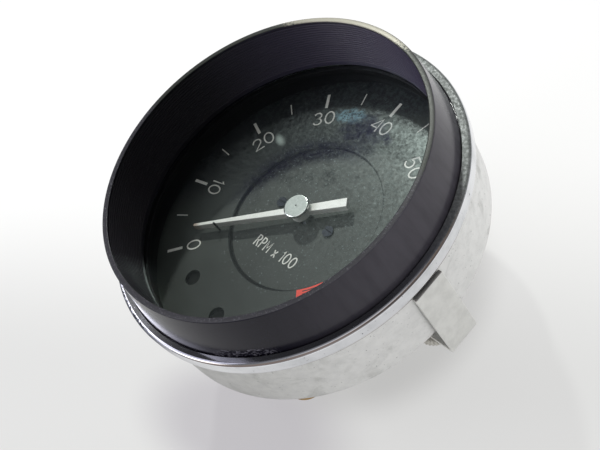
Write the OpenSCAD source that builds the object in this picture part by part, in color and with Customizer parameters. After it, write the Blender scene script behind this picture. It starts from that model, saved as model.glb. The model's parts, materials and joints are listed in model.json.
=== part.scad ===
// Round dashboard tachometer with a deep turned hood, driven by a cable from behind.
// The origin is on the instrument axis, at the end of the drive spigot. +Z points out of the face
// and the middle of the scale lies along +Y. Heights named *_z are measured from the case back.

/* [Case] */
// Outer radius of the spun aluminium case
case_r = 50; // [50:0.5:52]
// Wall thickness of the case
case_wall = 1; // [0.8:0.1:1]
// Depth of the case from its back to its mouth
case_depth = 22.5; // [22:0.5:24]
// Outer radius of the rounded back corner
case_corner_r = 2.5; // [1.5:0.5:3]

/* [Bezel and hood] */
// Outer radius of the chrome bezel ring
bezel_r = 51.4; // [51.4:0.1:51.8]
// Height of the bezel's lower edge above the case back
bezel_foot_z = 20; // [19.5:0.5:21]
// Height of the bezel's front face above the case back
bezel_face_z = 25.2; // [25.2:0.1:25.6]
// Outer radius of the hood where it leaves the bezel
hood_base_r = 48.7; // [48.5:0.1:48.8]
// Outer radius of the hood at its rim
hood_rim_r = 46.5; // [46:0.5:47.5]
// Radius of the hood's bore
hood_bore_r = 45; // [44.5:0.1:45]
// Height of the hood's rim above the case back
hood_rim_z = 38.3; // [34:0.1:42]
// Distance from one anti-glare groove to the next
groove_pitch = 0.88; // [0.8:0.02:1]
// Depth of each anti-glare groove
groove_depth = 0.35; // [0.2:0.05:0.5]

/* [Glass and dial] */
// Radius of the front glass
glass_r = 47; // [46.5:0.1:47]
// Thickness of the front glass
glass_t = 2; // [1.5:0.5:2]
// Height of the rear face of the glass
glass_z = 18.2; // [18:0.1:19]
// Radius of the dial plate
dial_r = 48.5; // [48:0.1:48.7]
// Thickness of the dial plate
dial_t = 1; // [0.8:0.1:1]
// Height of the dial's printed face
dial_face_z = 10.5; // [10.2:0.1:10.6]
// Radius of the recessed middle of the dial
recess_r = 23.1; // [22:0.1:24]
// Depth of the recessed middle
recess_depth = 0.7; // [0.5:0.1:0.7]
// Distance of the two dial screws from the axis
dial_screw_at = 9.9; // [9:0.1:10.5]

/* [Pointer] */
// Length of the pointer from the axis to its tip
pointer_reach = 33.6; // [28:0.1:36]
// Length of the tail from the axis
tail_reach = 14.2; // [10:0.1:16]
// Width of the pointer at the end of its tail
tail_w = 2.8; // [2:0.1:3]
// Width of the pointer at its tip
tip_w = 0.4; // [0.3:0.1:0.8]
// Direction in which the pointer rests, from +X
rest_angle = 217.9; // [216:0.1:220]
// Height of the pointer's flat top
pointer_top_z = 13.9; // [13.5:0.1:14]
// Height of the pointer's sides
pointer_h = 2; // [1:0.1:2]
// Radius of the cap on the pointer's hub
cap_r = 3.75; // [3:0.05:4.5]
// Radius of the stop pin that the pointer rests against
stop_pin_r = 0.3; // [0.2:0.05:0.4]
// Distance of the stop pin from the axis
stop_pin_at = 26.5; // [25:0.5:30]

/* [Movement] */
// Outer radius of the movement housing behind the case
housing_r = 22; // [21:0.5:23]
// Depth of the movement housing behind the case
housing_depth = 14; // [14:0.5:16]
// Radius of the drive spigot's thread
spigot_r = 9; // [9:0.5:10]
// Length of the spigot behind the housing
spigot_len = 18; // [16:0.5:22]
// Radius of the drive shaft
shaft_r = 3; // [2.8:0.1:3.2]
// Width of the square hole that takes the drive cable
square_w = 2.8; // [2.4:0.1:3]
// Radius of the turning magnet
magnet_r = 14.3; // [13:0.1:14.4]
// Radius of the pointer spindle
spindle_r = 0.7; // [0.6:0.1:0.8]
// Radial clearance where something turns
run_gap = 0.05; // [0.03:0.01:0.08]

/* [Lamps] */
// Distance of the lamps from the axis
lamp_at = 36; // [35:0.5:37]
// Outer radius of a lamp socket
socket_r = 6.5; // [6.2:0.1:6.8]
// Length of a lamp socket behind the case
socket_len = 18; // [14:0.5:18]
// Angle between neighbouring warning lamps
lamp_step = 26.5; // [25:0.5:30]
// Radius of a warning lamp's window in the dial
window_r = 2.4; // [2:0.1:3]

/* [Clamps] */
// Distance of the clamp studs from the axis
stud_at = 41; // [40:0.5:42]
// Radius of a clamp stud
stud_r = 2; // [2:0.5:2.5]
// Width of a clamp foot
foot_w = 9.5; // [8:0.5:11]
// Thickness of a clamp foot's strap
foot_t = 1.2; // [1:0.1:1.5]
// Height of the front end of a clamp foot's leg
foot_front_z = 19.4; // [18:0.1:19.6]
// Depth of a clamp foot's bar behind the case
foot_bar_z = 7.6; // [6:0.1:8]
// Outer radius of a knurled nut
nut_r = 6.5; // [6:0.5:8]

/* [Hidden] */
$fn = 96;

// Depth by which two solids of one piece run into each other
join = 0.01;

// Heights in the case, from its back
back_z = housing_depth + spigot_len;
seal_t = 0.3;
retainer_t = 1.6;
hood_step_z = glass_z + glass_t + seal_t;
hood_foot_z = glass_z - retainer_t - 0.2;
hood_step_r = glass_r + 0.1;
hood_edge = 0.2;
seal_in_r = hood_bore_r + 0.3;
retainer_in_r = hood_bore_r + 0.2;
flange_z = case_depth + 1.5;
bezel_gap = 0.05;
bezel_in_r = case_r + 0.25;
bezel_mouth_r = hood_base_r + 0.2;
bezel_edge_r = 0.8;
bezel_chamfer_w = 0.7;
bezel_chamfer_h = 1.4;
recess_z = dial_face_z - recess_depth;
dial_back_z = dial_face_z - dial_t;
recess_back_z = recess_z - dial_t;
corner_steps = 8;

// Rings inside the case
case_in_r = case_r - case_wall;
ring_gap = 0.2;
spacer_in_r = 47;
support_r = 47.3;
support_w = 1.5;

// Grooves in the hood's bore, below the plain band at its rim
rim_band = 0.6;
groove_count = floor((hood_rim_z - hood_step_z - 2 * rim_band) / groove_pitch);
groove_start_z = hood_rim_z - rim_band - groove_count * groove_pitch;
groove_peak = 0.35;
groove_end = 0.7;

// Small parts of the dial
dial_hole_r = 2.2;
dial_screw_r = 0.8;
dial_screw_head_r = 1.6;
dial_screw_head_t = 0.6;
eyelet_angle = 83;
eyelet_at = 31.6;
eyelet_r = 0.95;
eyelet_t = 0.15;
eyelet_body_r = 0.6;
eyelet_hole_r = 0.4;
eyelet_foot_z = dial_back_z - 0.3;

// Warning lamps lie below the axis and dial lamps above it
warning_angles = [270 - lamp_step, 270, 270 + lamp_step];
light_angles = [60, 120];
lamp_angles = concat(warning_angles, light_angles);
socket_wall = 1.1;
socket_fit = 0.05;
socket_sleeve_r = socket_r - 0.6;
socket_sleeve_z = 4.5;
socket_bore_r = socket_r - socket_wall;
socket_edge = 0.4;
insulator_foot_z = 0.8 - socket_len;
insulator_top_z = -5;
terminal_w = 4.8;
terminal_t = 0.8;
terminal_foot_z = -socket_len - 2.5;
terminal_top_z = 3.4 - socket_len;
bulb_cap_r = 3.3;
bulb_cap_foot_z = 4 - socket_len;
bulb_foot_z = -2;
bulb_neck_r = 3.1;
bulb_dome_z = 1.5;
bulb_r = 4.1;
tube_r = 7;
tube_wall = 0.9;
filter_t = 0.5;

// Movement
housing_wall = 1.5;
housing_flange_r = 27;
housing_bore_r = housing_r - housing_wall;
housing_screw_at = 24.5;
housing_screw_angles = [90, 210, 330];
screw_r = 1.5;
screw_slot = 0.6;
housing_screw_head_r = 2.2;
housing_screw_head_t = 1.4;
housing_screw_len = 4.5;
pillar_r = 2.4;
bridge_z = 5.3;
bridge_t = 1.6;
bridge_hub_r = 12.5;
bridge_arm_w = 5;
bridge_pad_r = 3.4;
bridge_post_r = 2.2;
bridge_screw_head_r = 2.3;
bridge_screw_head_t = 1.1;
bridge_screw_len = 3.5;
bearing_r = 2;
bearing_foot_z = bridge_z - 0.7;
bearing_top_z = bridge_z + bridge_t + 0.9;
spigot_stub_r = 7;
spigot_bore_r = 5;
spigot_mouth_r = 6;
spigot_mouth_len = 8;
spigot_stub_top_z = 2 - housing_depth;
thread_chamfer = 0.6;
collar_w = 20;
collar_t = 3;
bush_top_z = -housing_depth + 2.4;
bush_foot_z = -back_z + spigot_mouth_len;
shaft_foot_z = -26;
shaft_top_z = -2;
shaft_collar_r = 5;
shaft_collar_z = bush_top_z + 0.2;
square_len = 12;
clip_w = 1.4;
clip_low_z = bush_foot_z - 1.1;
clip_top_z = bush_foot_z - 0.4;
clip_mouth = 2;
field_foot_z = -10.6;
field_in_r = 16.8;
field_r = 18.2;
field_top_z = -0.8;
field_floor_t = 1.2;
magnet_half_w = 0.72 * magnet_r;
magnet_foot_z = -8.6;
magnet_top_z = -2.4;
cup_in_r = 15;
cup_r = 15.5;
cup_foot_z = -8;
cup_top_z = 0.7;
cup_t = 0.5;
collet_r = 1.6;
collet_top_z = 3.4;
spindle_foot_z = -6.2;
spindle_point_len = 0.6;
spindle_point_r = 0.2;

// Hairspring: an even spiral from the collet out to its stud
spring_in_r = 1.8;
spring_out_r = 8.5;
spring_turns = 5;
spring_t = 0.2;
spring_h = 0.5;
spring_z = 2.3;
spring_steps = 150;
spring_stud_r = 0.6;
spring_stud_foot_z = spring_z - 0.4;

// Pointer
eye_r = 2.9;
pointer_foot_z = pointer_top_z - pointer_h;
pointer_bush_r = 1.2;
pointer_bush_foot_z = pointer_foot_z - 0.8;
cap_foot_z = 14.95;
cap_t = 0.8;
cap_edge = 0.1;
cap_bevel = 0.3;
cap_dimple_r = 0.25;
pointer_taper = (tail_w - tip_w) / (tail_reach + pointer_reach);
pin_half_w = (tail_w - pointer_taper * (stop_pin_at + tail_reach)) / 2;
pin_gap = 0.03;
stop_angle = rest_angle + asin((pin_half_w + stop_pin_r + pin_gap) / stop_pin_at);
stop_top_z = 14.4;
stop_foot_z = dial_back_z - 0.4;

// Clamps
foot_front_gap = 0.25;
foot_splay = 1.3;
foot_bend = 2;
foot_lip_x = 32.2;
foot_lip_z = -0.4;
foot_slot_r = stud_r + 0.3;
bend_steps = 6;
washer_r = 5;
washer_hole_r = stud_r + 0.2;
washer_t = 0.8;
nut_body_t = 3;
nut_boss_r = nut_r - 2.2;
nut_boss_t = 1;
knurls = 40;
knurl_depth = 0.45;
stud_head_r = 4;
stud_head_t = 1.4;
stud_foot_z = -16;
stud_chamfer = 0.4;

// Earth blade, riveted behind the case
earth_angle = 150;
earth_w = 6.3;
earth_t = 0.8;
earth_in = 36.5;
earth_out = 46;
earth_foot_z = -9;
earth_hole_r = 0.9;
earth_hole_z = -7;
rivet_head_r = 2.6;
rivet_head_t = 0.9;
rivet_tail_r = 2.4;
rivet_tail_t = 0.6;

// Points on an arc about c from angle a to angle b
function arc(c, r, a, b, n) = [for (i = [0:n]) let (t = a + (b - a) * i / n)
    c + r * [cos(t), sin(t)]];

// Width of the strip's middle line at step i of the spiral
function spiral_r(i) = spring_in_r + (spring_out_r - spring_in_r) * i / spring_steps;
function spiral_a(i) = 360 * spring_turns * i / spring_steps;
function spiral_side(s) = [for (i = [0:spring_steps])
    (spiral_r(i) + s * spring_t / 2) * [cos(spiral_a(i)), sin(spiral_a(i))]];

// Everything in the case is drawn from the case back, and lifted onto the spigot here
module placed(c) color(c) translate([0, 0, back_z]) children();

module ring(r_in, r_out, z_low, z_high)
    rotate_extrude() translate([r_in, z_low]) square([r_out - r_in, z_high - z_low]);

module disc(r, z_low, z_high) translate([0, 0, z_low]) cylinder(r = r, h = z_high - z_low);

module around(angles, distance) for (a = angles) rotate(a) translate([distance, 0, 0]) children();

module drill(r) translate([0, 0, -back_z]) cylinder(r = r, h = 2 * back_z);

// A slotted screw that stands head up, with the underside of its head at seat_z
module screw(head_r, head_t, body_r, body_len, seat_z) translate([0, 0, seat_z]) difference() {
    union() {
        disc(head_r, 0, head_t);
        disc(body_r, -body_len, join);
    }
    translate([-2 * head_r, -screw_slot / 2, head_t / 2]) cube([4 * head_r, screw_slot, head_t]);
}

module case_shell() placed("#c4c4c2") difference() {
    rotate_extrude() polygon(concat(
        [[housing_bore_r, 0]],
        arc([case_r - case_corner_r, case_corner_r], case_corner_r, -90, 0, corner_steps),
        [[case_r, case_depth], [case_in_r, case_depth]],
        arc([case_r - case_corner_r, case_corner_r], case_corner_r - case_wall, 0, -90, corner_steps),
        [[housing_bore_r, case_wall]]));
    around(lamp_angles, lamp_at) drill(socket_sleeve_r + socket_fit);
    around([0, 180], stud_at) drill(stud_r);
    around(housing_screw_angles, housing_screw_at) drill(screw_r);
    around([earth_angle], stud_at) drill(screw_r);
}

module bezel_ring() placed("#d8dade") rotate_extrude() polygon(concat(
    [[bezel_in_r, bezel_foot_z], [bezel_r - bezel_chamfer_w, bezel_foot_z],
     [bezel_r, bezel_foot_z + bezel_chamfer_h]],
    arc([bezel_r - bezel_edge_r, bezel_face_z - bezel_edge_r], bezel_edge_r, 0, 90, corner_steps),
    [[bezel_mouth_r, bezel_face_z], [bezel_mouth_r, flange_z + bezel_gap],
     [bezel_in_r, flange_z + bezel_gap]]));

// The bore's profile rises from the step over the glass to the rim, with one V for each groove
function groove(i) = let (z = groove_start_z + i * groove_pitch)
    [[hood_bore_r, z], [hood_bore_r + groove_depth, z + groove_peak * groove_pitch],
     [hood_bore_r, z + groove_end * groove_pitch]];

module hood() placed("#2b2a2f") rotate_extrude() polygon(concat(
    [[hood_step_r, hood_foot_z], [hood_step_r, hood_step_z], [hood_bore_r, hood_step_z]],
    [for (i = [0:groove_count - 1]) each groove(i)],
    [[hood_bore_r, hood_rim_z - hood_edge], [hood_bore_r + hood_edge, hood_rim_z],
     [hood_rim_r - hood_edge, hood_rim_z], [hood_rim_r, hood_rim_z - hood_edge],
     [hood_base_r, bezel_face_z], [hood_base_r, flange_z],
     [case_r, flange_z], [case_r, case_depth], [hood_base_r, case_depth], [hood_base_r, hood_foot_z]]));

module hood_seal() placed("#161616") ring(seal_in_r, glass_r, glass_z + glass_t, hood_step_z);

module glass_lens() placed([0.85, 0.92, 0.92, 0.3]) disc(glass_r, glass_z, glass_z + glass_t);

module glass_retainer() placed("#1b1b1b") ring(retainer_in_r, hood_step_r, glass_z - retainer_t, glass_z);

module spacer_ring() placed("#232327")
    ring(spacer_in_r, case_in_r - ring_gap, dial_face_z, hood_foot_z);

module support_ring() placed("#b0b0ae") ring(support_r - support_w, support_r, case_wall, dial_back_z);

module dial() placed("#4a5050") difference() {
    rotate_extrude() polygon([[dial_hole_r, recess_back_z], [recess_r + dial_t, recess_back_z],
        [recess_r + dial_t, dial_back_z], [dial_r, dial_back_z], [dial_r, dial_face_z],
        [recess_r, dial_face_z], [recess_r, recess_z], [dial_hole_r, recess_z]]);
    around(warning_angles, lamp_at) drill(window_r);
    around([0, 180], dial_screw_at) drill(dial_screw_r);
    around([eyelet_angle], eyelet_at) drill(eyelet_body_r);
    around([stop_angle], stop_pin_at) drill(stop_pin_r);
}

module dial_screws() placed("#3a3c3c") around([0, 180], dial_screw_at)
    screw(dial_screw_head_r, dial_screw_head_t, dial_screw_r, recess_z - bridge_z, recess_z);

module dial_rivet() placed("#2f3232") around([eyelet_angle], eyelet_at) difference() {
    union() {
        disc(eyelet_r, dial_face_z, dial_face_z + eyelet_t);
        disc(eyelet_body_r, eyelet_foot_z, dial_face_z + join);
    }
    drill(eyelet_hole_r);
}

module stop_pin() placed("#2a2420") around([stop_angle], stop_pin_at)
    disc(stop_pin_r, stop_foot_z, stop_top_z);

module lamp_filters() placed("#1d1d1c") around(warning_angles, lamp_at)
    disc(tube_r, dial_back_z - filter_t, dial_back_z);

module lamp_tubes() placed("#202022") around(warning_angles, lamp_at)
    ring(tube_r - tube_wall, tube_r, case_wall, dial_back_z - filter_t);

module lamp_sockets() placed("#b08d4c") around(lamp_angles, lamp_at) rotate_extrude() polygon([
    [socket_bore_r, -socket_len], [socket_r - socket_edge, -socket_len],
    [socket_r, -socket_len + socket_edge],
    [socket_r, 0], [socket_sleeve_r, 0], [socket_sleeve_r, socket_sleeve_z],
    [socket_bore_r, socket_sleeve_z]]);

module lamp_insulators() placed("#6b3a22") around(lamp_angles, lamp_at) difference() {
    disc(socket_bore_r, insulator_foot_z, insulator_top_z);
    disc(bulb_cap_r, bulb_cap_foot_z, 0);
    terminal();
}

module terminal() translate([-terminal_w / 2, -terminal_t / 2, terminal_foot_z])
    cube([terminal_w, terminal_t, terminal_top_z - terminal_foot_z]);

module lamp_terminals() placed("#c9a65a") around(lamp_angles, lamp_at) terminal();

module lamp_bulb_caps() placed("#c8b27a") around(lamp_angles, lamp_at)
    disc(bulb_cap_r, bulb_cap_foot_z, bulb_foot_z);

module lamp_bulbs() placed([0.9, 0.93, 0.95, 0.4]) around(lamp_angles, lamp_at)
    rotate_extrude() polygon(concat([[0, bulb_foot_z], [bulb_neck_r, bulb_foot_z], [bulb_r, 0]],
        arc([0, bulb_dome_z], bulb_r, 0, 90, corner_steps)));

module movement_housing() placed("#8f8f8c") difference() {
    union() {
        disc(housing_r, -housing_depth, 0);
        disc(housing_flange_r, -housing_wall, 0);
    }
    disc(housing_bore_r, -housing_depth + housing_wall, 1);
    disc(spigot_stub_r, -housing_depth - 1, 0);
    around(housing_screw_angles, housing_screw_at) drill(screw_r);
}

module housing_screws() placed("#bdb9ab") around(housing_screw_angles, housing_screw_at) mirror([0, 0, 1])
    screw(housing_screw_head_r, housing_screw_head_t, screw_r, housing_screw_len, housing_wall);

module frame_pillars() placed("#c2b280") around(housing_screw_angles, housing_screw_at)
    ring(screw_r, pillar_r, case_wall, bridge_z);

module movement_bridge() placed("#b9b9b4") difference() {
    union() {
        disc(bridge_hub_r, bridge_z, bridge_z + bridge_t);
        around(housing_screw_angles, bridge_hub_r - 2) translate([0, -bridge_arm_w / 2, bridge_z])
            cube([housing_screw_at - bridge_hub_r + 2, bridge_arm_w, bridge_t]);
        around(housing_screw_angles, housing_screw_at)
            disc(bridge_pad_r, bridge_z, bridge_z + bridge_t);
        around([0, 180], dial_screw_at) disc(bridge_post_r, bridge_z, recess_back_z);
    }
    drill(bearing_r);
    around([0, 180], dial_screw_at) drill(dial_screw_r);
    around(housing_screw_angles, housing_screw_at) drill(screw_r);
}

module bridge_screws() placed("#bdb9ab") around(housing_screw_angles, housing_screw_at)
    screw(bridge_screw_head_r, bridge_screw_head_t, screw_r, bridge_screw_len, bridge_z + bridge_t);

module upper_bearing() placed("#b5853f") ring(spindle_r + run_gap, bearing_r, bearing_foot_z, bearing_top_z);

module hairspring() placed("#3f5a86") translate([0, 0, spring_z]) linear_extrude(spring_h)
    polygon(concat(spiral_side(1), [for (i = [spring_steps:-1:0]) spiral_side(-1)[i]]));

module hairspring_stud() placed("#b5853f") around([spiral_a(spring_steps)], spring_out_r)
    disc(spring_stud_r, spring_stud_foot_z, bridge_z);

module drive_spigot() placed("#b9b7ae") difference() {
    union() {
        disc(spigot_stub_r, -housing_depth - join, spigot_stub_top_z);
        translate([0, 0, -housing_depth - collar_t])
            cylinder(r = collar_w / sqrt(3), h = collar_t, $fn = 6);
        rotate_extrude() polygon([[0, -back_z], [spigot_r - thread_chamfer, -back_z],
            [spigot_r, -back_z + thread_chamfer], [spigot_r, -housing_depth - join],
            [0, -housing_depth - join]]);
    }
    drill(spigot_bore_r);
    disc(spigot_mouth_r, -back_z - 1, -back_z + spigot_mouth_len);
}

module drive_bush() placed("#a9793a") ring(shaft_r + run_gap, spigot_bore_r, bush_foot_z, bush_top_z);

module clamp_studs() placed("#b3b1a6") around([0, 180], stud_at) {
    disc(stud_head_r, case_wall, case_wall + stud_head_t);
    disc(stud_r, stud_foot_z + stud_chamfer, case_wall + join);
    translate([0, 0, stud_foot_z]) cylinder(r1 = stud_r - stud_chamfer, r2 = stud_r, h = stud_chamfer);
}

module earth_tab() placed("#c9a65a") rotate(earth_angle) difference() {
    union() {
        translate([earth_in, -earth_w / 2, -earth_t]) cube([earth_out - earth_in, earth_w, earth_t]);
        translate([earth_out - earth_t, -earth_w / 2, earth_foot_z])
            cube([earth_t, earth_w, -earth_foot_z - earth_t + join]);
    }
    translate([stud_at, 0, 0]) drill(screw_r);
    translate([stud_at, 0, earth_hole_z]) rotate([0, 90, 0]) cylinder(r = earth_hole_r, h = earth_out);
}

module earth_rivet() placed("#b3b1a6") around([earth_angle], stud_at) {
    disc(rivet_head_r, -earth_t - rivet_head_t, -earth_t);
    disc(screw_r, -earth_t - join, case_wall + join);
    disc(rivet_tail_r, case_wall, case_wall + rivet_tail_t);
}

module pointer_arm() placed("#d8d6d2") rotate(rest_angle) difference() {
    union() {
        translate([0, 0, pointer_foot_z]) linear_extrude(pointer_h)
            polygon([[-tail_reach, -tail_w / 2], [pointer_reach, -tip_w / 2],
                [pointer_reach, tip_w / 2], [-tail_reach, tail_w / 2]]);
        disc(eye_r, pointer_foot_z, cap_foot_z);
    }
    drill(pointer_bush_r);
}

module pointer_bush() placed("#b5853f") ring(spindle_r, pointer_bush_r, pointer_bush_foot_z, cap_foot_z);

module hub_cap() placed("#b8beb9") rotate_extrude() polygon([[0, cap_foot_z],
    [cap_r - cap_edge, cap_foot_z], [cap_r, cap_foot_z + cap_edge],
    [cap_r, cap_foot_z + cap_t - cap_bevel], [cap_r - cap_bevel, cap_foot_z + cap_t],
    [cap_dimple_r, cap_foot_z + cap_t], [0, cap_foot_z + cap_t - cap_dimple_r]]);

module spindle() placed("#9a9c9e") {
    disc(spindle_r, spindle_foot_z + spindle_point_len, cap_foot_z);
    translate([0, 0, spindle_foot_z])
        cylinder(r1 = spindle_point_r, r2 = spindle_r, h = spindle_point_len);
}

module drag_cup() placed("#d0d2d4") difference() {
    disc(cup_r, cup_foot_z, cup_top_z);
    disc(cup_in_r, cup_foot_z - 1, cup_top_z - cup_t);
    drill(spindle_r);
}

module spring_collet() placed("#b5853f") ring(spindle_r, collet_r, cup_top_z, collet_top_z);

module drive_shaft() placed("#8c8e90") difference() {
    union() {
        disc(shaft_r, shaft_foot_z, shaft_top_z);
        disc(shaft_collar_r, shaft_collar_z, field_foot_z);
    }
    translate([-square_w / 2, -square_w / 2, shaft_foot_z - join])
        cube([square_w, square_w, square_len + join]);
    disc(spindle_r + run_gap, spindle_foot_z - 0.2, 0);
}

module shaft_clip() placed("#5a5a5c") difference() {
    ring(shaft_r, shaft_r + clip_w, clip_low_z, clip_top_z);
    translate([0, -clip_mouth / 2, clip_low_z - join]) cube([2 * shaft_r, clip_mouth, clip_w]);
}

module magnet() placed("#55504c") difference() {
    intersection() {
        disc(magnet_r, magnet_foot_z, magnet_top_z);
        translate([-magnet_r, -magnet_half_w, magnet_foot_z])
            cube([2 * magnet_r, 2 * magnet_half_w, magnet_top_z - magnet_foot_z]);
    }
    drill(shaft_r);
}

module field_cup() placed("#7d7a74") difference() {
    disc(field_r, field_foot_z, field_top_z);
    disc(field_in_r, field_foot_z + field_floor_t, 0);
    drill(shaft_r);
}

// Side profile of a clamp foot: a leg beside the case, a bar behind it and a short inner lip
function foot_profile() =
    let (front = case_r + foot_front_gap, rear = front + foot_splay, b = foot_bend,
        heel = [rear + foot_t - b, b - foot_bar_z], toe = [foot_lip_x + b, b - foot_bar_z])
    concat([[front, foot_front_z], [front + foot_t, foot_front_z]],
        arc(heel, b, 0, -90, bend_steps), arc(toe, b, -90, -180, bend_steps),
        [[foot_lip_x, foot_lip_z], [foot_lip_x + foot_t, foot_lip_z]],
        arc(toe, b - foot_t, -180, -90, bend_steps), arc(heel, b - foot_t, -90, 0, bend_steps));

module clamp_foot(side) placed("#c2c1bd") rotate(side) difference() {
    rotate([90, 0, 0]) linear_extrude(foot_w, center = true) polygon(foot_profile());
    translate([stud_at, 0, 0]) drill(foot_slot_r);
}

module clamp_washer(side) placed("#aeaca4") rotate(side) translate([stud_at, 0, 0])
    ring(washer_hole_r, washer_r, -foot_bar_z - washer_t, -foot_bar_z);

module clamp_nut(side) placed("#a9a69c") rotate(side)
    translate([stud_at, 0, -foot_bar_z - washer_t - nut_body_t]) difference() {
        union() {
            linear_extrude(nut_body_t) polygon([for (i = [0:2 * knurls - 1])
                (nut_r - knurl_depth * (i % 2)) * [cos(180 * i / knurls), sin(180 * i / knurls)]]);
            translate([0, 0, -nut_boss_t]) cylinder(r = nut_boss_r, h = nut_boss_t + join);
        }
        drill(stud_r + run_gap);
    }

module clamp_foot_right() clamp_foot(0);
module clamp_washer_right() clamp_washer(0);
module clamp_nut_right() clamp_nut(0);
module clamp_foot_left() clamp_foot(180);
module clamp_washer_left() clamp_washer(180);
module clamp_nut_left() clamp_nut(180);

case_shell();
bezel_ring();
hood();
hood_seal();
glass_lens();
glass_retainer();
spacer_ring();
support_ring();
dial();
dial_screws();
dial_rivet();
stop_pin();
lamp_filters();
lamp_tubes();
lamp_sockets();
lamp_insulators();
lamp_terminals();
lamp_bulb_caps();
lamp_bulbs();
movement_housing();
housing_screws();
frame_pillars();
movement_bridge();
bridge_screws();
upper_bearing();
hairspring();
hairspring_stud();
drive_spigot();
drive_bush();
clamp_studs();
earth_tab();
earth_rivet();
pointer_arm();
pointer_bush();
hub_cap();
spindle();
drag_cup();
spring_collet();
drive_shaft();
shaft_clip();
magnet();
field_cup();
clamp_foot_right();
clamp_washer_right();
clamp_nut_right();
clamp_foot_left();
clamp_washer_left();
clamp_nut_left();
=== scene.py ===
"""Visual model of a round dashboard tachometer with a deep black hood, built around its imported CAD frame.

Lengths of pieces and finishes are millimetres, and heights are measured from the back of the case, as in the
frame's source; mesh_of() turns them into metres on the instrument axis. The stage is in metres. Colours are
sRGB hex values."""

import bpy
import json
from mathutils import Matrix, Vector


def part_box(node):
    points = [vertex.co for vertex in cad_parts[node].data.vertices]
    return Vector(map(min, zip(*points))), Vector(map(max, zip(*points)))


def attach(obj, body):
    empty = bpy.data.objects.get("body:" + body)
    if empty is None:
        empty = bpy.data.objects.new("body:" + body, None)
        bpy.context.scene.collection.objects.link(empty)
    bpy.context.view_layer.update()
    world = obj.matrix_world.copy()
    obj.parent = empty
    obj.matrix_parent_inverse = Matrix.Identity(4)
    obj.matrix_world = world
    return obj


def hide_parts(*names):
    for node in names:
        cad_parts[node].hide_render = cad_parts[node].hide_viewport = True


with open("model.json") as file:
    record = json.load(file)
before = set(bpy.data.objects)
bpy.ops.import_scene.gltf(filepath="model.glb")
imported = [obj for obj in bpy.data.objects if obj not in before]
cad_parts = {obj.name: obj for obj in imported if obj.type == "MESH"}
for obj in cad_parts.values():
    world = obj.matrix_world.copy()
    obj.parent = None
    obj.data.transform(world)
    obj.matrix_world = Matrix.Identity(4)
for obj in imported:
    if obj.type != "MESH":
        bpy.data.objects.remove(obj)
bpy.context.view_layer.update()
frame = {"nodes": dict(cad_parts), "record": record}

import copy
import json
import math

import bmesh
import bpy
import numpy as np
from mathutils import Euler, Vector

bl_info = {
    "name": "Dashboard Tachometer",
    "version": (1, 0, 0),
    "blender": (4, 5, 0),
    "location": "View3D > Sidebar > Tachometer",
    "description": "Builds the pieces, finishes and stage of a hooded dashboard tachometer",
    "category": "Add Mesh",
}

PAPER = "#fcfcfb"
MM = 0.001
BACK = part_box("case_shell")[0].z / MM

# Points round a turned part, and how far a drill reaches up and down in mm
ROUND = 288
DRILL = 90

# Heights in mm of the hood's rim and seat, the front glass, the dial and its recess, and what lies behind
RIM = 38.3
SEAT = 20.5
GLASS_FRONT, GLASS_BACK = 20.2, 18.2
DIAL_FACE, RECESS_FACE = 10.5, 9.8
HOUSING_END = -14.0
HEX_END = -17.0
SPIGOT_END = -32.0

# Distances in mm of the lamps, the clamp studs, the housing screws and the eyelet from the axis
LAMP_CIRCLE, STUD_CIRCLE, SCREW_CIRCLE, EYELET_CIRCLE = 36, 41, 24.5, 31.6

# Angles of the lamps, the housing screws, the earth tab and the clamp studs about the axis, in degrees
WARNING_ANGLES = (243.5, 270.0, 296.5)
LIGHT_ANGLES = (60.0, 120.0)
SCREW_ANGLES = (90.0, 210.0, 330.0)
STUD_ANGLES = (0.0, 180.0)
EARTH_ANGLE = 150.0
EYELET_ANGLE = 83.0
REST_ANGLE = 217.9

# The scale: the angle of its 0, the degrees of one unit, and its last value
SCALE_START, SCALE_STEP, SCALE_END = 225, 3.375, 80


# Colours and nodes

def linear(text):
    """The linear colour, with alpha, of an sRGB hex value."""
    c = np.array([int(text[i:i + 2], 16) for i in (1, 3, 5)]) / 255
    return (*np.where(c <= 0.04045, c / 12.92, ((c + 0.055) / 1.055) ** 2.4).tolist(), 1.0)


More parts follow.
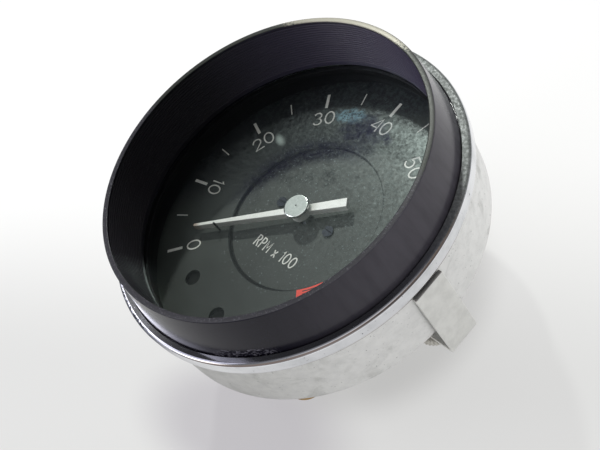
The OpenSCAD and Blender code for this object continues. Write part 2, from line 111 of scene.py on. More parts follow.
class Nodes:
    """The nodes of a material or a world."""

    def __init__(self, owner):
        owner.use_nodes = True
        self.owner, self.tree = owner, owner.node_tree

    def fill(self, socket, value):
        """Links a socket to another one, or sets it to a value or a hex colour."""
        if isinstance(value, bpy.types.NodeSocket):
            self.tree.links.new(value, socket)
        else:
            socket.default_value = linear(value) if isinstance(value, str) else value

    def add(self, kind, inputs=None, **settings):
        """Adds a node with its settings. Inputs are values, hex colours or sockets to link."""
        made = self.tree.nodes.new(kind)
        for key, value in settings.items():
            setattr(made, key, value)
        for key, value in (inputs or {}).items():
            self.fill(made.inputs[key], value)
        return made

    def worked(self, operation, *values, clamp=False):
        """Values joined by arithmetic, from the first to the last."""
        total = values[0]
        for value in values[1:]:
            made = self.add("ShaderNodeMath", {0: total, 1: value}, operation=operation, use_clamp=clamp)
            total = made.outputs[0]
        return total

    def product(self, *values):
        """Values multiplied."""
        return self.worked("MULTIPLY", *values)

    def between(self, value, low, high):
        """0 where a value is at low and 1 where it is at high, with a smooth step between."""
        made = self.add("ShaderNodeMapRange", {0: value, 1: low, 2: high}, interpolation_type="SMOOTHSTEP")
        return made.outputs[0]

    def blend(self, share, one, two):
        """One colour or value turning into another by a share."""
        kind = "FLOAT" if isinstance(one, (int, float)) or getattr(one, "type", "") == "VALUE" else "RGBA"
        first = 2 if kind == "FLOAT" else 6
        made = self.add("ShaderNodeMix", {0: share, first: one, first + 1: two}, data_type=kind)
        return made.outputs[0 if kind == "FLOAT" else 2]

    def coated(self, tone, *coats):
        """A tone with colours laid over it in turn. A coat is (colour, share, ...), its shares multiplied."""
        for over, *shares in coats:
            tone = self.blend(self.product(*shares), tone, over)
        return tone


class Surface(Nodes):
    """A new material, with its main shader and each point's place in mm from the case back."""

    def __init__(self, name):
        super().__init__(bpy.data.materials.new(name))
        self.shader = self.tree.nodes["Principled BSDF"]
        where = self.add("ShaderNodeTexCoord").outputs["Object"]
        self.place = self.add("ShaderNodeMapping", {"Vector": where, "Scale": (1 / MM,) * 3,
                                                    "Location": (0, 0, -BACK)}).outputs[0]

    def at(self, place):
        """The same surface, for patches and distances at another place."""
        made = copy.copy(self)
        made.place = place
        return made

    def drawn_out(self, scale, turn=(0, 0, 0)):
        """The same surface where patches run along the direction with the least scale, after a turn."""
        return self.at(self.add("ShaderNodeMapping", {"Vector": self.place, "Rotation": turn,
                                                      "Scale": scale}).outputs[0])

    def lathe(self, around=0.0):
        """The same surface with rings: its place is the distance from the axis, the height, and a little of x
        so that the rings break."""
        part = self.add("ShaderNodeSeparateXYZ", {0: self.place}).outputs
        return self.at(self.add("ShaderNodeCombineXYZ", {0: self.out(), 1: part[2],
                                                         2: self.product(part[0], around)}).outputs[0])

    def height(self):
        """Height above the case back."""
        return self.add("ShaderNodeSeparateXYZ", {0: self.place}).outputs[2]

    def out(self):
        """Distance from the instrument's axis."""
        flat = self.add("ShaderNodeVectorMath", {0: self.place, 1: (1, 1, 0)}, operation="MULTIPLY")
        return self.add("ShaderNodeVectorMath", {0: flat.outputs[0]}, operation="LENGTH").outputs["Value"]

    def side(self, angle, low, high):
        """0 where the place lies less than low mm towards an angle about the axis, and 1 beyond high."""
        far = self.add("ShaderNodeVectorMath", {0: self.place, 1: (*polar(1.0, angle), 0)},
                       operation="DOT_PRODUCT")
        return self.between(far.outputs["Value"], low, high)

    def clouds(self, size, low, high, detail=3.0, rough=0.55, warp=0.0):
        """Patches of about the given size in mm: 0 where the noise is below low, 1 above high."""
        noise = self.add("ShaderNodeTexNoise", {"Vector": self.place, "Scale": 1 / size, "Detail": detail,
                                                "Roughness": rough, "Distortion": warp}).outputs["Fac"]
        return self.between(noise, low, high)

    def spot(self, centre, reach, rag, size, soft, angle=0.0):
        """1 inside an ellipse: the distance from its centre, as a share of its reach, plus rag times noise of
        about the given size, fading over soft."""
        local = self.add("ShaderNodeMapping", {"Vector": self.place, "Location": (*centre, 0),
                                               "Rotation": (0, 0, math.radians(angle)),
                                               "Scale": (*reach, 1e6)}, vector_type="TEXTURE")
        far = self.add("ShaderNodeVectorMath", {0: local.outputs[0]}, operation="LENGTH").outputs["Value"]
        noise = self.add("ShaderNodeTexNoise", {"Vector": self.place, "Scale": 1 / size,
                                                "Detail": 4.0}).outputs["Fac"]
        far = self.worked("ADD", far, self.product(self.worked("SUBTRACT", noise, 0.5), rag * 2))
        return self.between(far, 1 + soft, 1 - soft)

    def damp_arc(self, inner, outer, low, high):
        """Where damp marked the dial and left its print on the glass: a band 21 to 23.5 mm out, fading to
        inner and outer, on the side that side() takes from low to high, and a patch beside the 40."""
        out = self.out()
        band = self.product(self.between(out, inner, 21.0), self.between(out, outer, 23.5),
                            self.side(142.0, low, high))
        return self.worked("MAXIMUM", band, self.spot((-6.0, 29.5), (6.0, 4.6), 0.9, 3.0, 0.5))

    def give(self, **sockets):
        """Sets or links sockets of the main shader, named with _ for a space."""
        for key, value in sockets.items():
            self.fill(self.shader.inputs[key.replace("_", " ")], value)

    def relief(self, height, depth):
        """Bumps as deep as depth, in mm, from a height between 0 and 1."""
        bump = self.add("ShaderNodeBump", {"Height": height, "Distance": depth * MM, "Strength": 1.0})
        self.give(Normal=bump.outputs[0])

    def show_mix(self, share, one, two):
        """Makes the surface a mix of two shaders."""
        mixed = self.add("ShaderNodeMixShader", {0: share, 1: one, 2: two}).outputs[0]
        self.fill(self.tree.nodes["Material Output"].inputs["Surface"], mixed)


# Finishes

def metal(name, light, dark, rough, grain, streaks=0.0, pits=0.0, uneven=0.16, depth=0.006):
    """Bare or plated metal: two tones in patches of the grain's size in mm, uneven dullness, fine pits."""
    m = Surface(name)
    patch = m.clouds(grain, 0.35, 0.68)
    fine = m.clouds(0.25, 0.3, 0.7, 2.0)
    tone = m.blend(patch, light, dark)
    if pits:
        tone = m.coated(tone, (dark, m.clouds(0.5, 0.66 - pits, 0.7 - pits, 2.0)))
    lines = m.lathe().clouds(0.12, 0.3, 0.7, 2.0)
    m.give(Base_Color=tone, Metallic=1.0, Roughness=m.blend(patch, rough, min(1.0, rough + uneven)))
    m.relief(m.blend(streaks, fine, lines), depth)
    return m.owner


def moulding(name, light, dark, rough, grain, depth=0.01, ior=1.5):
    """Moulded, painted or filled plastic and rubber: even colour with faint patches and a fine grain."""
    m = Surface(name)
    patch = m.clouds(3.0, 0.35, 0.65)
    fine = m.clouds(grain, 0.3, 0.7)
    m.give(Base_Color=m.blend(patch, light, dark), IOR=ior,
           Roughness=m.blend(fine, rough, min(1.0, rough + 0.12)))
    m.relief(fine, depth)
    return m.owner


def spun_aluminium():
    """Aluminium spun over a form, dulled by age: light grey, painted lighter towards the right and greyer low
    on the left as light and shade, with faint rings, water stains and hairline scratches."""
    m = Surface("spun_aluminium")
    stain = m.clouds(9.0, 0.5, 0.72, 5.0, 0.6, 0.6)
    mottle = m.clouds(2.5, 0.3, 0.75, 4.0, 0.6)
    speck = m.clouds(0.8, 0.7, 0.74, 2.0)
    rings = m.lathe(0.01).clouds(0.35, 0.3, 0.7, 4.0)
    scratch = m.drawn_out((0.05, 1.0, 1.0), (0.5, 0.3, 0.9)).clouds(0.7, 0.7, 0.72, 2.0)
    # Painted light and shade: lighter towards the right, greyer low on the left
    side = m.side(30.0, -20.0, 42.0)
    tone = m.blend(mottle, m.blend(side, "#c2c2bf", "#eeeeed"), m.blend(side, "#b8b8b6", "#e3e3e2"))
    tone = m.coated(tone, ("#a8a9a5", stain, 0.5), ("#8d8f8d", speck, 0.7), ("#9a9c9b", scratch, 0.5))
    m.give(Base_Color=tone, Metallic=1.0, Roughness=m.blend(stain, 0.44, 0.5))
    m.relief(m.blend(0.3, rings, mottle), 0.0015)
    return m.owner


def worn_chrome():
    """Chromium plate on brass after decades: a soft mirror with pinhole rust, thickest low on the left, grey
    bloom high on the right that is also a painted reflection of the dark hood, painted shade dulling it low
    on the left, brass showing where the shoulder is rubbed through, and painted shade in the corner beside
    the hood."""
    m = Surface("worn_chrome")
    out = m.out()
    height = m.height()
    noise = m.add("ShaderNodeTexNoise", {"Vector": m.place, "Scale": 1 / 0.7, "Detail": 4.0}).outputs["Fac"]
    rusty = m.product(m.side(252.0, 46.5, 50.0), m.between(out, 50.0, 50.8),
                      m.between(height, 21.5, 24.0), 0.25)
    pin = m.between(m.worked("ADD", rusty, noise), 0.69, 0.73)
    # Grey bloom high on the right, whose dull grey is also a painted reflection of the dark hood
    bloom = m.worked("ADD", m.product(m.clouds(0.9, 0.3, 0.7, 4.0, 0.7), 0.25), 0.75)
    bloom = m.product(m.side(52.0, 20.0, 42.0), bloom, m.between(out, 51.3, 51.0))
    # Painted shade: duller and darker low on the left, in place of the window's reflection
    dull = m.product(m.side(252.0, 42.0, 49.0), m.between(out, 50.3, 51.0))
    worn = m.product(m.between(out, 50.75, 50.95), m.between(out, 51.28, 51.15), m.side(-28.0, 30.0, 44.0))
    # Painted shade in the corner beside the hood, low on the right
    corner_shade = m.product(m.side(325.0, 20.0, 40.0), m.between(out, 51.0, 50.6))
    haze = m.clouds(6.0, 0.4, 0.75, 4.0)
    tone = m.coated(m.blend(haze, "#e2e3e6", "#cfd1d4"), ("#505552", bloom), ("#565963", dull, 0.85),
                    ("#9c8070", worn, 0.7), ("#2c2c38", corner_shade, 0.85), ("#161c2a", pin))
    m.give(Base_Color=tone, Metallic=m.blend(m.worked("MAXIMUM", pin, bloom), 1.0, 0.2),
           Roughness=m.blend(m.worked("MAXIMUM", bloom, dull, pin), m.blend(haze, 0.08, 0.16), 0.6))
    m.relief(m.product(pin, -1.0), 0.01)
    return m.owner


def black_anodising():
    """Turned aluminium anodised black: satin with a violet cast outside, paler on the right as painted sheen,
    near black in the bore with a painted violet sheen at the top of it, and grey, pale at the very top, round
    the upper half of the rim."""
    m = Surface("black_anodising")
    out = m.out()
    height = m.height()
    fine = m.clouds(0.5, 0.3, 0.75, 4.0)
    lines = m.lathe(0.02).clouds(0.15, 0.3, 0.7, 3.0)
    outside = m.between(out, 45.6, 46.4)
    # Painted sheen: the bore is lighter and more violet towards the top
    bore = m.blend(m.side(92.0, 8.0, 42.0), "#17151b", "#3d384a")
    # Fine scratches at one place low on the outside
    scuff = m.product(m.drawn_out((0.15, 1.0, 1.0), (0.2, 1.1, 0.4)).clouds(0.5, 0.5, 0.6, 3.0),
                      m.side(306.0, 47.6, 48.2), m.between(height, 28.0, 27.2))
    # Paler on the right as painted sheen, in rubs that run up and down
    sheen_and_rubs = m.product(m.side(30.0, 10.0, 46.0), m.drawn_out((1.0, 1.0, 0.06)).clouds(2.5, -0.6, 0.8))
    rim = m.product(m.between(height, 38.0, 38.16), m.between(out, 46.42, 46.3))
    rag = m.add("ShaderNodeTexNoise", {"Vector": m.place, "Scale": 1 / 0.6, "Detail": 5.0,
                                       "Roughness": 0.7}).outputs["Fac"]
    rag = m.product(m.worked("SUBTRACT", rag, 0.5), 0.9)
    grey = m.between(m.worked("ADD", m.side(102.0, -4.0, 18.0), rag), 0.35, 0.6)
    bright = m.between(m.worked("ADD", m.side(100.0, 32.0, 46.0), rag), 0.6, 0.85)
    speck = m.clouds(0.4, 0.58, 0.66, 2.0)
    edge = m.coated(m.blend(speck, "#29282d", "#4e4d53"),
                    (m.blend(speck, "#2c2e2b", "#21231f"), grey), ("#8a877c", bright))
    tone = m.blend(outside, bore, m.blend(fine, "#14121d", "#191724"))
    tone = m.coated(tone, ("#8d8b96", scuff, 0.5), ("#56535b", sheen_and_rubs, outside), (edge, rim))
    m.give(Base_Color=tone, Metallic=m.product(rim, grey, 0.3), IOR=1.3,
           Roughness=m.blend(outside, m.blend(fine, 0.32, 0.4), m.blend(rim, 0.17, 0.55)))
    m.relief(lines, 0.004)
    return m.owner


def dial_paint():
    """Satin grey-green dial enamel, aged: granular blue-black clouds along the recess and beside the 40, a
    teal bloom near the 30 painted bright as if lit, dust, painted light towards the 40, a painted glint near
    the 20, and painted shade where the hood's shadow falls. Its soft gloss is most of its colour."""
    m = Surface("dial_paint")
    out = m.out()
    grain = m.clouds(1.1, 0.38, 0.6, 5.0, 0.75)
    fine = m.clouds(0.5, 0.3, 0.7, 3.0)
    patches = m.product(m.clouds(8.0, 0.48, 0.7, 4.0), m.side(120.0, -6.0, 16.0))
    damp = m.worked("MAXIMUM", m.damp_arc(17.5, 27.0, 14.0, 20.0), patches)
    damp = m.product(damp, grain)
    # A teal bloom near the 30, painted bright as if lit though the hood shades it
    teal = m.product(m.spot((-11.5, 32.3), (4.4, 2.2), 0.7, 1.5, 0.6, 20.0), grain)
    # Painted light: paler, in a fine mottle, towards the 40, where the dial lies in light
    pale = m.product(m.side(75.0, -12.0, 26.0), m.clouds(1.2, 0.42, 0.66, 5.0, 0.7))
    # A painted glint: a blurred reflection near the 20
    painted_glint = m.spot((-27.0, 15.4), (2.0, 1.0), 0.25, 1.0, 0.8, -20.0)
    dust = m.product(m.clouds(0.6, 0.65, 0.7, 2.0), m.between(out, 29.0, 22.0))
    # Painted shade: darker blue-black where the hood's shadow falls
    painted_hood_shadow = m.side(140.0, 14.0, 26.0)
    # A dark line round the recess, thicker on the side of the low numbers by a painted shadow of its step
    low = m.side(215.0, -8.0, 12.0)
    line = m.product(m.between(out, m.blend(low, 22.8, 22.3), m.blend(low, 22.95, 22.6)),
                     m.between(out, m.blend(low, 23.4, 23.7), m.blend(low, 23.2, 23.4)))
    tone = m.blend(m.clouds(14.0, 0.3, 0.7, 3.0), "#303230", "#383a38")
    tone = m.coated(tone, ("#121218", painted_hood_shadow), ("#424a4a", pale, 0.5), ("#8fb9c8", teal),
                    ("#05070f", damp), ("#b9c4bd", painted_glint), ("#98a2a2", dust, 0.4), ("#04060a", line, 0.9))
    m.give(Base_Color=tone, IOR=1.4,
           Roughness=m.blend(m.worked("MAXIMUM", damp, line, dust), m.blend(fine, 0.5, 0.58), 0.85))
    return m.owner


def printing_ink(name, light, worn):
    """Screen-printed ink: flat and dull, thin in fine speckles so that the dial shows through a little."""
    m = Surface(name)
    thin = m.clouds(0.35, 0.55, 0.75, 3.0)
    m.give(Base_Color=m.blend(m.product(thin, 0.4), light, worn), Roughness=0.62)
    m.relief(thin, 0.003)
    return m.owner


def pointer_enamel():
    """Off-white stoved enamel on a light alloy pointer, worn to a brown primer at the tip."""
    m = Surface("pointer_enamel")
    rag = m.add("ShaderNodeTexNoise", {"Vector": m.place, "Scale": 1 / 1.2, "Detail": 3.0}).outputs["Fac"]
    tip = m.between(m.worked("ADD", m.out(), m.product(rag, 2.0)), 31.8, 34.6)
    spots = m.clouds(0.7, 0.62, 0.74, 3.0)
    tone = m.blend(m.clouds(4.0, 0.35, 0.7), "#f3efec", "#eae6e2")
    tone = m.coated(tone, ("#b9b1aa", spots, 0.3), ("#8a6247", tip, 0.8))
    m.give(Base_Color=tone, Roughness=0.42)
    m.relief(m.clouds(0.4, 0.3, 0.7), 0.003)
    return m.owner


def clear_glass(name, tint, dust, film=False):
    """Flat clear glass: it shows what is behind it and mirrors the room, more at a low angle. Dust lies on it
    in matt specks, and a dried film hazes its mirror in grains, less along a navy arc."""
    m = Surface(name)
    facing = m.add("ShaderNodeLayerWeight", {"Blend": 0.5}).outputs["Facing"]
    mirror = m.worked("ADD", m.product(m.worked("POWER", facing, 5.0), 0.96), 0.042)
    speck = m.clouds(0.5, 0.73, 0.77, 2.0)
    tone, haze = "#ffffff", 0.02
    if film:
        grain = m.clouds(1.2, 0.36, 0.64, 8.0, 0.85)
        # Places on the film are those of the dial under it, as seen slanting through the glass
        shifted = m.add("ShaderNodeVectorMath", {0: m.place, 1: (9.4, -3.2, 0)}, operation="SUBTRACT")
        under = m.at(shifted.outputs[0])
        arc = m.product(under.damp_arc(18.0, 28.0, 10.0, 19.0), m.clouds(2.0, 0.35, 0.6, 6.0, 0.8))
        # A small clean place over the eyelet
        arc = m.worked("MAXIMUM", arc, under.spot((2.4, 30.7), (1.2, 1.2), 0.1, 1.5, 0.3))
        haze = m.blend(m.product(grain, m.blend(arc, 1.0, 0.2)), 0.12, 0.27)
        # Painted shade: the film's mirror is dimmer towards the warning lamps
        tone = m.blend(m.side(268.0, 2.0, 30.0), "#f0fffc", "#bcc8c6")
        tone = m.coated(tone, ("#b4b8f0", arc))
    share = m.worked("ADD", mirror, m.product(speck, dust), clamp=True)
    m.give(Base_Color=tone, Metallic=m.worked("SUBTRACT", 1.0, speck), Roughness=m.blend(speck, haze, 0.8))
    through = m.add("ShaderNodeBsdfTransparent", {"Color": tint}).outputs[0]
    m.show_mix(share, through, m.shader.outputs[0])
    return m.owner


def satin_nickel():
    """Satin nickel of the hub cap: even grey with a faint grain, and a polished bevel round its edge."""
    m = Surface("satin_nickel")
    tone = m.blend(m.clouds(0.7, 0.35, 0.68), "#a2a4a3", "#979998")
    edge = m.between(m.out(), 3.28, 3.38)
    m.give(Base_Color=m.coated(tone, ("#d8dad8", edge)), Metallic=1.0, Roughness=m.blend(edge, 0.5, 0.18))
    return m.owner


def pale_ground():
    """Matt white paper ground, with painted shade towards the bottom of the picture and a soft painted shadow
    of the instrument there.
    """
    m = Surface("pale_ground")
    out = m.out()
    # A soft painted shadow of the instrument, low in the picture
    patch = m.spot((-1.0, -55.0), (34.0, 17.0), 0.0, 1.5, 0.45, 18.0)
    # Painted shade: greyer towards the bottom of the picture
    tone = m.blend(m.side(300.0, -50.0, 35.0), PAPER, "#e1e1e0")
    tone = m.coated(tone, (PAPER, m.between(out, 150.0, 280.0)), ("#c6c4c7", patch))
    fibres = m.clouds(3.0, 0.3, 0.7)
    m.give(Base_Color=m.coated(tone, ("#e0e0e0", fibres, 0.04)), Roughness=0.9)
    # The paper glows for the camera, metal and glass, more away from the instrument: painted light lifting
    # its shadow
    ray = m.add("ShaderNodeLightPath").outputs
    seen = m.worked("MAXIMUM", ray["Is Camera Ray"], ray["Is Glossy Ray"], ray["Is Transmission Ray"])
    behind = m.blend(m.between(out, 34.0, 47.0), 0.6, 0.83)
    glow = m.add("ShaderNodeEmission", {"Color": tone}).outputs[0]
    m.show_mix(m.product(seen, behind), m.shader.outputs[0], glow)
    return m.owner


FINISHES = {
    "spun_aluminium": spun_aluminium,
    "chrome": worn_chrome,
    "black_anodised": black_anodising,
    "dial_paint": dial_paint,
    "pointer_paint": pointer_enamel,
    # Float glass in front of the dial, with a dried film and dust
    "glass": lambda: clear_glass("front_glass", "#fbfdfc", 0.06, True),
    # Thin blown glass of the lamp bulbs
    "bulb_glass": lambda: clear_glass("bulb_glass", "#f4f6f7", 0.1),
    # Ink for the marks, numbers and unit: off-white, yellowed a little
    "white_ink": lambda: printing_ink("white_ink", "#dad5d0", "#8b8c88"),
    # Ink of the sector at the end of the scale: signal red, dulled
    "red_ink": lambda: printing_ink("red_ink", "#e8493c", "#a23a34"),
    # Black nitrile rubber: dead black with a dusty bloom
    "rubber": lambda: moulding("rubber", "#161616", "#222222", 0.62, 0.4),
    # Flat black lacquer inside the hood, on pressed rings
    "black_paint": lambda: moulding("black_lacquer", "#100f13", "#151418", 0.6, 0.3, 0.004, 1.35),
    # Dyed cellulose film behind the lamp windows, almost black unlit
    "dark_filter": lambda: moulding("lamp_film", "#050505", "#080807", 0.75, 1.2, 0.004, 1.3),
    # Moulded black phenolic plastic
    "black_plastic": lambda: moulding("black_plastic", "#1a1a1c", "#242426", 0.4, 0.5),
    # Paper-based phenolic board: red-brown with a fibrous mottle
    "phenolic": lambda: moulding("phenolic_board", "#6b3a22", "#4d2715", 0.42, 0.6),
    # Drawn brass, tarnished to a brown gold
    "brass": lambda: metal("brass", "#b39050", "#9a7a42", 0.32, 4.0, 0.5, 0.02),
    # Phosphor bronze bearings, darkened by old oil
    "bronze": lambda: metal("bronze", "#5f4838", "#443226", 0.4, 1.2, 0.6),
    # Zinc die casting: mid grey, slightly rough from the mould
    "zinc_casting": lambda: metal("zinc_casting", "#a5a5a2", "#7e7f7d", 0.5, 1.6, 0.0, 0.02),
    # Turned mild steel with an oil film
    "steel": lambda: metal("turned_steel", "#a2a3a4", "#77787a", 0.3, 1.5, 0.7),
    # Spring steel blued by heat, gone almost black
    "blued_steel": lambda: metal("blued_steel", "#3a3c46", "#26262c", 0.3, 1.0, 0.0),
    # Nickel plate: warm grey, hazed
    "nickel_plate": lambda: metal("nickel_plate", "#cfcdc7", "#b5b2aa", 0.3, 2.5, 0.3, 0.01),
    # Zinc-plated strip steel: light grey with a soft spangle
    "galvanised_steel": lambda: metal("galvanised_steel", "#ebebe8", "#e2e2df", 0.44, 3.0, uneven=0.06,
                                      depth=0.001),
    "satin_metal": satin_nickel,
    # Cast magnet alloy: dark grey and coarse
    "magnet_alloy": lambda: metal("magnet_alloy", "#6a655f", "#4a4642", 0.5, 1.2, 0.0, 0.03),
    "ground": pale_ground,
}
made_finishes = {}


def finish(slot):
    """The finish of that slot, made the first time it is asked for."""
    if slot not in made_finishes:
        made_finishes[slot] = FINISHES[slot]()
    return made_finishes[slot]


# Shapes: each is (points, faces), a closed shell in mm with heights from the case back

def quads(rows, cols, close_rows=True, close_cols=True):
    """The faces of a grid of points numbered row by row, either way running round to its start or not."""
    i, j = np.meshgrid(np.arange(rows - (not close_rows)), np.arange(cols - (not close_cols)), indexing="ij")
    k, m = (i + 1) % rows, (j + 1) % cols
    return np.stack([i * cols + j, i * cols + m, k * cols + m, k * cols + j], -1).reshape(-1, 4).tolist()


def soften(outline, reach):
    """Each corner of a closed outline becomes a quadratic curve of three chords that starts and ends reach mm
    from it, or 0.45 of the side where that is shorter."""
    p = np.asarray(outline, float)
    t = np.linspace(0, 1, 4)[None, :, None]
    ends = []
    for shift in (1, -1):
        side = np.roll(p, shift, 0) - p
        length = np.linalg.norm(side, axis=1)
        ends.append(p + side * (np.minimum(reach, 0.45 * length) / length)[:, None])
    a, b = ends[0][:, None], ends[1][:, None]
    return ((1 - t) ** 2 * a + 2 * t * (1 - t) * p[:, None] + t ** 2 * b).reshape(-1, 2)


def held(profile, reach=0.12):
    """Each side of a profile longer than 1 mm gets a point reach mm from either end, so that the smooth
    shading of its edges stays beside them: p + (q - p) * s for s = 0, reach / length, 1 - reach / length."""
    p = np.asarray(profile, float)
    made = [p[:1]]
    for a, b in zip(p, p[1:]):
        size = np.linalg.norm(b - a)
        s = np.array([reach / size, 1 - reach / size, 1.0] if size > 1.0 else [1.0])
        made.append(a + (b - a) * s[:, None])
    return np.concatenate(made)


def turned(profile, centre=(0.0, 0.0), around=ROUND, ripple=None, ripple_rows=None):
    """A profile of (radius, height) points turned about an upright line through centre. Point (i, j) has
    angle 2 pi j / around and radius r_i, less ripple(angle) on the rows whose share in ripple_rows isn't 0.
    A profile that starts and ends on the line is left open there, and any other is closed."""
    r, z = (np.asarray(profile, float) if ripple else held(profile)).T
    a = np.linspace(0, 2 * np.pi, around, endpoint=False)
    r = np.repeat(r[:, None], around, 1)
    if ripple is not None:
        r = r - np.asarray(ripple_rows, float)[:, None] * ripple(a)
    p = np.stack([centre[0] + r * np.cos(a), centre[1] + r * np.sin(a), np.repeat(z[:, None], around, 1)], -1)
    return p.reshape(-1, 3), quads(len(z), around, not (r[0, 0] == 0 and r[-1, 0] == 0))


def shifts(outline, closed=True):
    """For each point of an outline, the mitred vector that moves both its sides 1 mm to their left."""
    p = np.asarray(outline, float)
    side = np.roll(p, -1, 0) - p
    left = np.stack([-side[:, 1], side[:, 0]], 1) / np.maximum(np.linalg.norm(side, axis=1), 1e-9)[:, None]
    before = np.roll(left, 1, 0)
    if not closed:
        before[0], left[-1] = left[0], left[-2]
    return (before + left) / np.maximum(1 + (before * left).sum(1), 0.55)[:, None]


def ribbon(path, width, low, high, closed=False):
    """A flat strip along a path of (x, y) points: at each point a rectangle as wide as width and from low to
    high, set across the path and mitred at its corners."""
    p = np.asarray(path, float)
    half = shifts(p, closed) * np.broadcast_to(np.asarray(width, float) / 2, len(p))[:, None]
    left, right = p + half, p - half
    rows = np.stack([np.c_[left, np.full(len(p), low)], np.c_[right, np.full(len(p), low)],
                     np.c_[right, np.full(len(p), high)], np.c_[left, np.full(len(p), high)]], 1)
    faces = quads(len(p), 4, closed)
    if not closed:
        faces += [[0, 1, 2, 3], [4 * len(p) - 1, 4 * len(p) - 2, 4 * len(p) - 3, 4 * len(p) - 4]]
    return rows.reshape(-1, 3), faces


def lofted(sections):
    """Closed sections of equal point count, joined in order, with a flat face at each end."""
    s = np.asarray(sections, float)
    count = s.shape[1]
    last = (len(s) - 1) * count
    ends = [list(range(count)), list(range(last + count - 1, last - 1, -1))]
    return s.reshape(-1, 3), quads(len(s), count, False) + ends


def threaded(radius, depth, pitch, low, high, tail, around, centre=(0.0, 0.0), lead=0.6):
    """A screw thread. At angle a and height z the radius is the full one less depth times a rounded saw of
    z / pitch - a / 2 pi, and never more than a cone allows within lead of the low end. Tail is the rest of
    the closed profile, from the high end back to the low one."""
    z = np.linspace(low, high, int((high - low) / pitch * 10) + 2)[:, None]
    a = np.linspace(0, 2 * np.pi, around, endpoint=False)[None, :]
    phase = (z / pitch - a / (2 * np.pi)) % 1.0
    saw = np.clip(np.abs(2 * phase - 1) * 1.5 - 0.25, 0, 1)
    r = np.minimum(radius - depth * saw, radius - lead + (z - low))
    rows = [np.stack([r * np.cos(a), r * np.sin(a), z + 0 * a], -1)]
    t = np.asarray(tail, float)
    rows.append(np.stack([t[:, :1] * np.cos(a), t[:, :1] * np.sin(a), t[:, 1:] + 0 * a], -1))
    p = np.concatenate(rows).reshape(-1, 3) + np.array([*centre, 0.0])
    return p, quads(len(z) + len(t), around)


def moved(shape, angle=0.0, at=(0.0, 0.0, 0.0)):
    """A shape shifted by at and then turned about the axis by an angle in degrees."""
    c, s = math.cos(math.radians(angle)), math.sin(math.radians(angle))
    p = shape[0] + np.array(at)
    return p @ np.array([[c, s, 0], [-s, c, 0], [0, 0, 1]]), shape[1]


def polar(distance, angle):
    """The (x, y) point at that distance and angle in degrees from the axis."""
    return distance * math.cos(math.radians(angle)), distance * math.sin(math.radians(angle))


def volume(points, faces):
    """Six times a shell's volume by its fan triangles, below 0 where its faces point inwards."""
    total = 0.0
    by_count = {}
    for f in faces:
        by_count.setdefault(len(f), []).append(f)
    for count, group in by_count.items():
        q = points[np.array(group)]
        for k in range(1, count - 1):
            total += np.einsum("ij,ij->", q[:, 0], np.cross(q[:, k], q[:, k + 1]))
    return total


def mesh_of(name, shapes):
    """A mesh in metres from closed shells, each turned to face outwards, with poles and seams merged."""
    points, faces, start = [], [], 0
    for p, f in shapes:
        if volume(p - p.mean(0), f) < 0:
            f = [g[::-1] for g in f]
        points.append((p + np.array([0, 0, BACK])) * MM)
        faces += [[v + start for v in g] for g in f]
        start += len(p)
    mesh = bpy.data.meshes.new(name)
    mesh.from_pydata(np.concatenate(points), [], faces)
    work = bmesh.new()
    work.from_mesh(mesh)
    bmesh.ops.remove_doubles(work, verts=work.verts, dist=1e-7)
    bmesh.ops.delete(work, geom=[e for e in work.edges if not e.link_faces], context="EDGES")
    work.to_mesh(mesh)
    work.free()
    mesh.update()
    return mesh


def piece(name, shapes, slot, body, replaces=(), holes=(), sharp=30.0, coat=None):
    """Makes the shapes one object, drills its holes, gives it its slot's finish or a coat over it, and lets
    it ride on its body. A hole is (x, y, radius) and goes right through along Z. Edges that turn by more than
    sharp degrees stay crisp."""
    mesh = mesh_of(name, shapes)
    made = bpy.data.objects.new(name, mesh)
    bpy.context.scene.collection.objects.link(made)
    if holes:
        rods = [turned([(0, -DRILL), (r, -DRILL), (r, DRILL), (0, DRILL)], (x, y), 64) for x, y, r in holes]
        cutter = bpy.data.objects.new(name + "_cutter", mesh_of(name + "_cutter", rods))
        bpy.context.scene.collection.objects.link(cutter)
        change = made.modifiers.new("holes", "BOOLEAN")
        change.operation, change.object, change.solver = "DIFFERENCE", cutter, "EXACT"
        bpy.context.view_layer.update()
        drilled = bpy.data.meshes.new_from_object(made.evaluated_get(bpy.context.evaluated_depsgraph_get()))
        made.modifiers.clear()
        made.data = drilled
        bpy.data.objects.remove(cutter)
        if len(drilled.polygons) < 0.5 * len(mesh.polygons):
            raise RuntimeError(f"{name}: the holes took more than half of its faces")
        mesh = drilled
    mesh.materials.clear()
    mesh.materials.append(finish(coat or slot))
    mesh.shade_smooth()
    mesh.set_sharp_from_angle(angle=math.radians(sharp))
    if replaces:
        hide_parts(*replaces)
    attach(made, body)
    return made


# Numbers and letters, drawn as single lines in a box 1 high

def bow(cx, cy, rx, ry, start, end, steps=14):
    """Points of an ellipse about (cx, cy) from angle start to end, in degrees."""
    t = np.radians(np.linspace(start, end, steps))
    return np.c_[cx + rx * np.cos(t), cy + ry * np.sin(t)].tolist()


